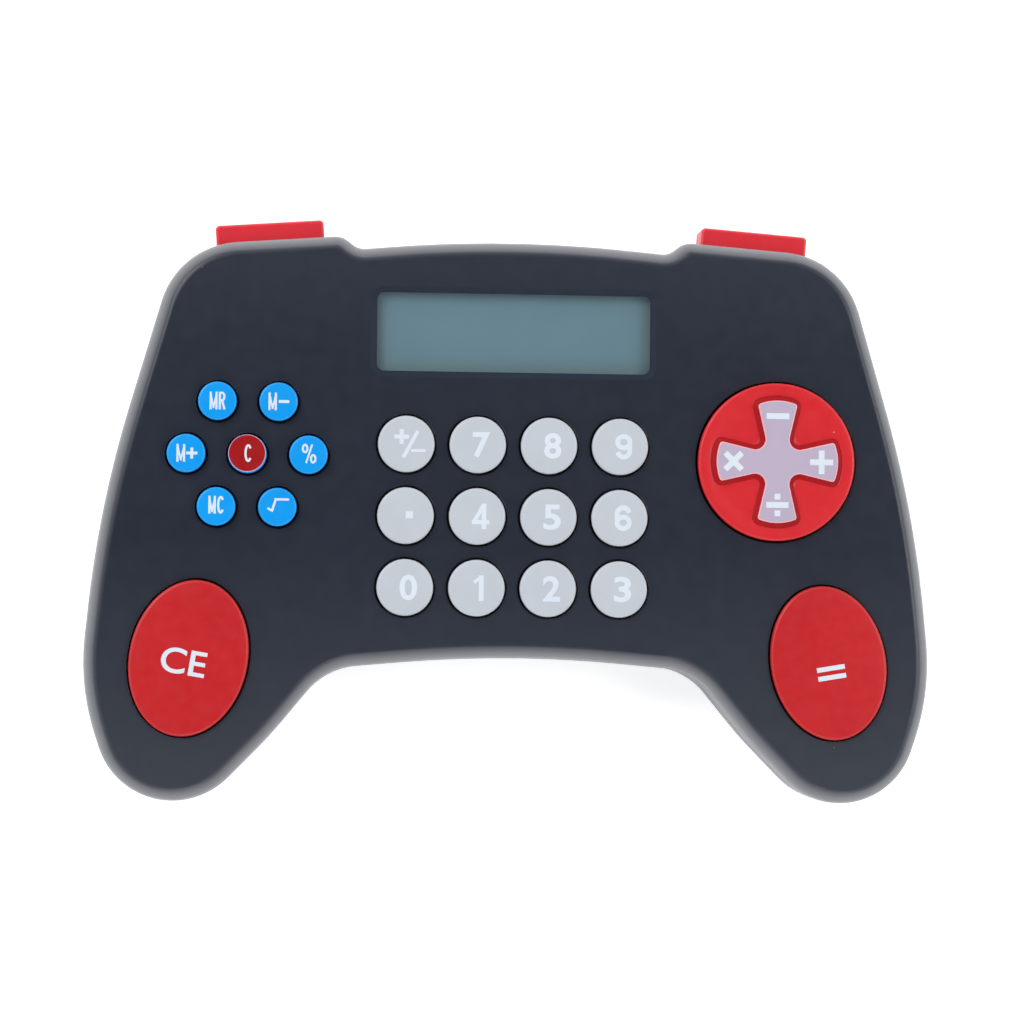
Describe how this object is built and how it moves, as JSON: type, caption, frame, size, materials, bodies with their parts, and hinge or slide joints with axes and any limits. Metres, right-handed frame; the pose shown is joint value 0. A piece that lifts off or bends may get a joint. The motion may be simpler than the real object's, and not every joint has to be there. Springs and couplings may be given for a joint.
{
  "type": "pocket calculator",
  "caption": "Flat two-grip pocket calculator with a display window, round keys, a rocker disc with a raised cross and push buttons on its top edge.",
  "frame": {"origin": "under the middle of the outline, on the plane of the rear face", "axes": "+X to the right as the keys are read, +Y towards the display edge, +Z out of the key face"},
  "size_m": [0.1426, 0.0978, 0.0158],
  "materials": {
    "case_shell": "soft-touch matte charcoal navy",
    "steel": "plated steel screws",
    "clear_window": "clear moulded acrylic",
    "lcd_glass": "two bonded glass plates",
    "polariser_film": "grey polariser film",
    "reflector_film": "grey-green reflective film",
    "white_plastic": "natural white moulding",
    "elastomer": "layered conductive elastomer",
    "board_laminate": "green solder mask on laminate",
    "black_resin": "glossy potting resin",
    "component_black": "black moulded components",
    "grey_key": "satin light grey silicone",
    "blue_key": "satin bright blue silicone",
    "red_rubber": "satin red silicone",
    "red_plastic": "satin red moulded plastic",
    "mauve_insert": "satin pale mauve insert",
    "grey_silicone": "grey silicone mat",
    "blue_silicone": "blue silicone mat",
    "red_silicone": "red silicone mat",
    "nickel": "bright nickel plate"
  },
  "bodies": {
    "case": {"front_shell": "case_shell", "rear_shell": "case_shell", "case_screws": "steel", "board_screws": "steel", "display_lens": "clear_window", "lcd_cell": "lcd_glass", "lcd_polariser": "polariser_film", "lcd_reflector": "reflector_film", "lcd_frame": "white_plastic", "zebra_strip": "elastomer", "main_board": "board_laminate", "chip_blob": "black_resin", "circuit_parts": "component_black", "digit_keymat": "grey_silicone", "memory_keymat": "blue_silicone", "ce_mat": "red_silicone", "equals_mat": "red_silicone", "rocker_mat": "red_silicone", "rocker_post": "white_plastic", "shoulder_switch_left": "component_black", "shoulder_switch_right": "component_black", "battery_cell": "nickel", "battery_contact_positive": "nickel", "battery_contact_negative": "nickel"},
    "key_sign": {"key_sign": "grey_key"},
    "key_7": {"key_7": "grey_key"},
    "key_8": {"key_8": "grey_key"},
    "key_9": {"key_9": "grey_key"},
    "key_point": {"key_point": "grey_key"},
    "key_4": {"key_4": "grey_key"},
    "key_5": {"key_5": "grey_key"},
    "key_6": {"key_6": "grey_key"},
    "key_0": {"key_0": "grey_key"},
    "key_1": {"key_1": "grey_key"},
    "key_2": {"key_2": "grey_key"},
    "key_3": {"key_3": "grey_key"},
    "key_percent": {"key_percent": "blue_key"},
    "key_m_minus": {"key_m_minus": "blue_key"},
    "key_mr": {"key_mr": "blue_key"},
    "key_m_plus": {"key_m_plus": "blue_key"},
    "key_mc": {"key_mc": "blue_key"},
    "key_root": {"key_root": "blue_key"},
    "key_c": {"key_c": "blue_key"},
    "ce_key": {"ce_key": "red_rubber"},
    "equals_key": {"equals_key": "red_rubber"},
    "rocker_pivot": {"rocker_pivot": "white_plastic"},
    "rocker": {"rocker_disc": "red_rubber", "rocker_cross": "mauve_insert"},
    "shoulder_button_left": {"shoulder_button_left": "red_plastic", "switch_plunger_left": "component_black"},
    "shoulder_button_right": {"shoulder_button_right": "red_plastic", "switch_plunger_right": "component_black"},
    "battery_door": {"battery_door": "case_shell", "battery_door_screws": "steel"}
  },
  "joints": [
    {"name": "key_sign_press", "type": "slide", "parent": "case", "child": "key_sign", "axis": [0, 0, -1], "range_m": [0, 0.001], "stiffness_N_per_m": 1200, "deforming": ["digit_keymat"]},
    {"name": "key_7_press", "type": "slide", "parent": "case", "child": "key_7", "axis": [0, 0, -1], "range_m": [0, 0.001], "stiffness_N_per_m": 1200, "deforming": ["digit_keymat"]},
    {"name": "key_8_press", "type": "slide", "parent": "case", "child": "key_8", "axis": [0, 0, -1], "range_m": [0, 0.001], "stiffness_N_per_m": 1200, "deforming": ["digit_keymat"]},
    {"name": "key_9_press", "type": "slide", "parent": "case", "child": "key_9", "axis": [0, 0, -1], "range_m": [0, 0.001], "stiffness_N_per_m": 1200, "deforming": ["digit_keymat"]},
    {"name": "key_point_press", "type": "slide", "parent": "case", "child": "key_point", "axis": [0, 0, -1], "range_m": [0, 0.001], "stiffness_N_per_m": 1200, "deforming": ["digit_keymat"]},
    {"name": "key_4_press", "type": "slide", "parent": "case", "child": "key_4", "axis": [0, 0, -1], "range_m": [0, 0.001], "stiffness_N_per_m": 1200, "deforming": ["digit_keymat"]},
    {"name": "key_5_press", "type": "slide", "parent": "case", "child": "key_5", "axis": [0, 0, -1], "range_m": [0, 0.001], "stiffness_N_per_m": 1200, "deforming": ["digit_keymat"]},
    {"name": "key_6_press", "type": "slide", "parent": "case", "child": "key_6", "axis": [0, 0, -1], "range_m": [0, 0.001], "stiffness_N_per_m": 1200, "deforming": ["digit_keymat"]},
    {"name": "key_0_press", "type": "slide", "parent": "case", "child": "key_0", "axis": [0, 0, -1], "range_m": [0, 0.001], "stiffness_N_per_m": 1200, "deforming": ["digit_keymat"]},
    {"name": "key_1_press", "type": "slide", "parent": "case", "child": "key_1", "axis": [0, 0, -1], "range_m": [0, 0.001], "stiffness_N_per_m": 1200, "deforming": ["digit_keymat"]},
    {"name": "key_2_press", "type": "slide", "parent": "case", "child": "key_2", "axis": [0, 0, -1], "range_m": [0, 0.001], "stiffness_N_per_m": 1200, "deforming": ["digit_keymat"]},
    {"name": "key_3_press", "type": "slide", "parent": "case", "child": "key_3", "axis": [0, 0, -1], "range_m": [0, 0.001], "stiffness_N_per_m": 1200, "deforming": ["digit_keymat"]},
    {"name": "key_percent_press", "type": "slide", "parent": "case", "child": "key_percent", "axis": [0, 0, -1], "range_m": [0, 0.001], "stiffness_N_per_m": 1200, "deforming": ["memory_keymat"]},
    {"name": "key_m_minus_press", "type": "slide", "parent": "case", "child": "key_m_minus", "axis": [0, 0, -1], "range_m": [0, 0.001], "stiffness_N_per_m": 1200, "deforming": ["memory_keymat"]},
    {"name": "key_mr_press", "type": "slide", "parent": "case", "child": "key_mr", "axis": [0, 0, -1], "range_m": [0, 0.001], "stiffness_N_per_m": 1200, "deforming": ["memory_keymat"]},
    {"name": "key_m_plus_press", "type": "slide", "parent": "case", "child": "key_m_plus", "axis": [0, 0, -1], "range_m": [0, 0.001], "stiffness_N_per_m": 1200, "deforming": ["memory_keymat"]},
    {"name": "key_mc_press", "type": "slide", "parent": "case", "child": "key_mc", "axis": [0, 0, -1], "range_m": [0, 0.001], "stiffness_N_per_m": 1200, "deforming": ["memory_keymat"]},
    {"name": "key_root_press", "type": "slide", "parent": "case", "child": "key_root", "axis": [0, 0, -1], "range_m": [0, 0.001], "stiffness_N_per_m": 1200, "deforming": ["memory_keymat"]},
    {"name": "key_c_press", "type": "slide", "parent": "case", "child": "key_c", "axis": [0, 0, -1], "range_m": [0, 0.001], "stiffness_N_per_m": 1200, "deforming": ["memory_keymat"]},
    {"name": "ce_key_press", "type": "slide", "parent": "case", "child": "ce_key", "axis": [0, 0, -1], "range_m": [0, 0.001], "stiffness_N_per_m": 1200, "deforming": ["ce_mat"]},
    {"name": "equals_key_press", "type": "slide", "parent": "case", "child": "equals_key", "axis": [0, 0, -1], "range_m": [0, 0.001], "stiffness_N_per_m": 1200, "deforming": ["equals_mat"]},
    {"name": "rocker_tilt_x", "type": "hinge", "parent": "case", "child": "rocker_pivot", "pos_m": [0.0446, 0.0086, 0.0118], "axis": [1, 0, 0], "range_deg": [-3, 3], "stiffness_Nm_per_rad": 0.26, "deforming": ["rocker_mat"]},
    {"name": "rocker_tilt_y", "type": "hinge", "parent": "rocker_pivot", "child": "rocker", "pos_m": [0.0446, 0.0086, 0.0118], "axis": [0, 1, 0], "range_deg": [-3, 3], "stiffness_Nm_per_rad": 0.26, "deforming": ["rocker_mat"]},
    {"name": "shoulder_left_press", "type": "slide", "parent": "case", "child": "shoulder_button_left", "axis": [0.075, -0.9972, 0], "range_m": [0, 0.001], "stiffness_N_per_m": 1500},
    {"name": "shoulder_right_press", "type": "slide", "parent": "case", "child": "shoulder_button_right", "axis": [-0.075, -0.9972, 0], "range_m": [0, 0.001], "stiffness_N_per_m": 1500},
    {"name": "battery_door_lift", "type": "slide", "parent": "case", "child": "battery_door", "axis": [0, 0, -1], "range_m": [0, 0.01]}
  ]
}
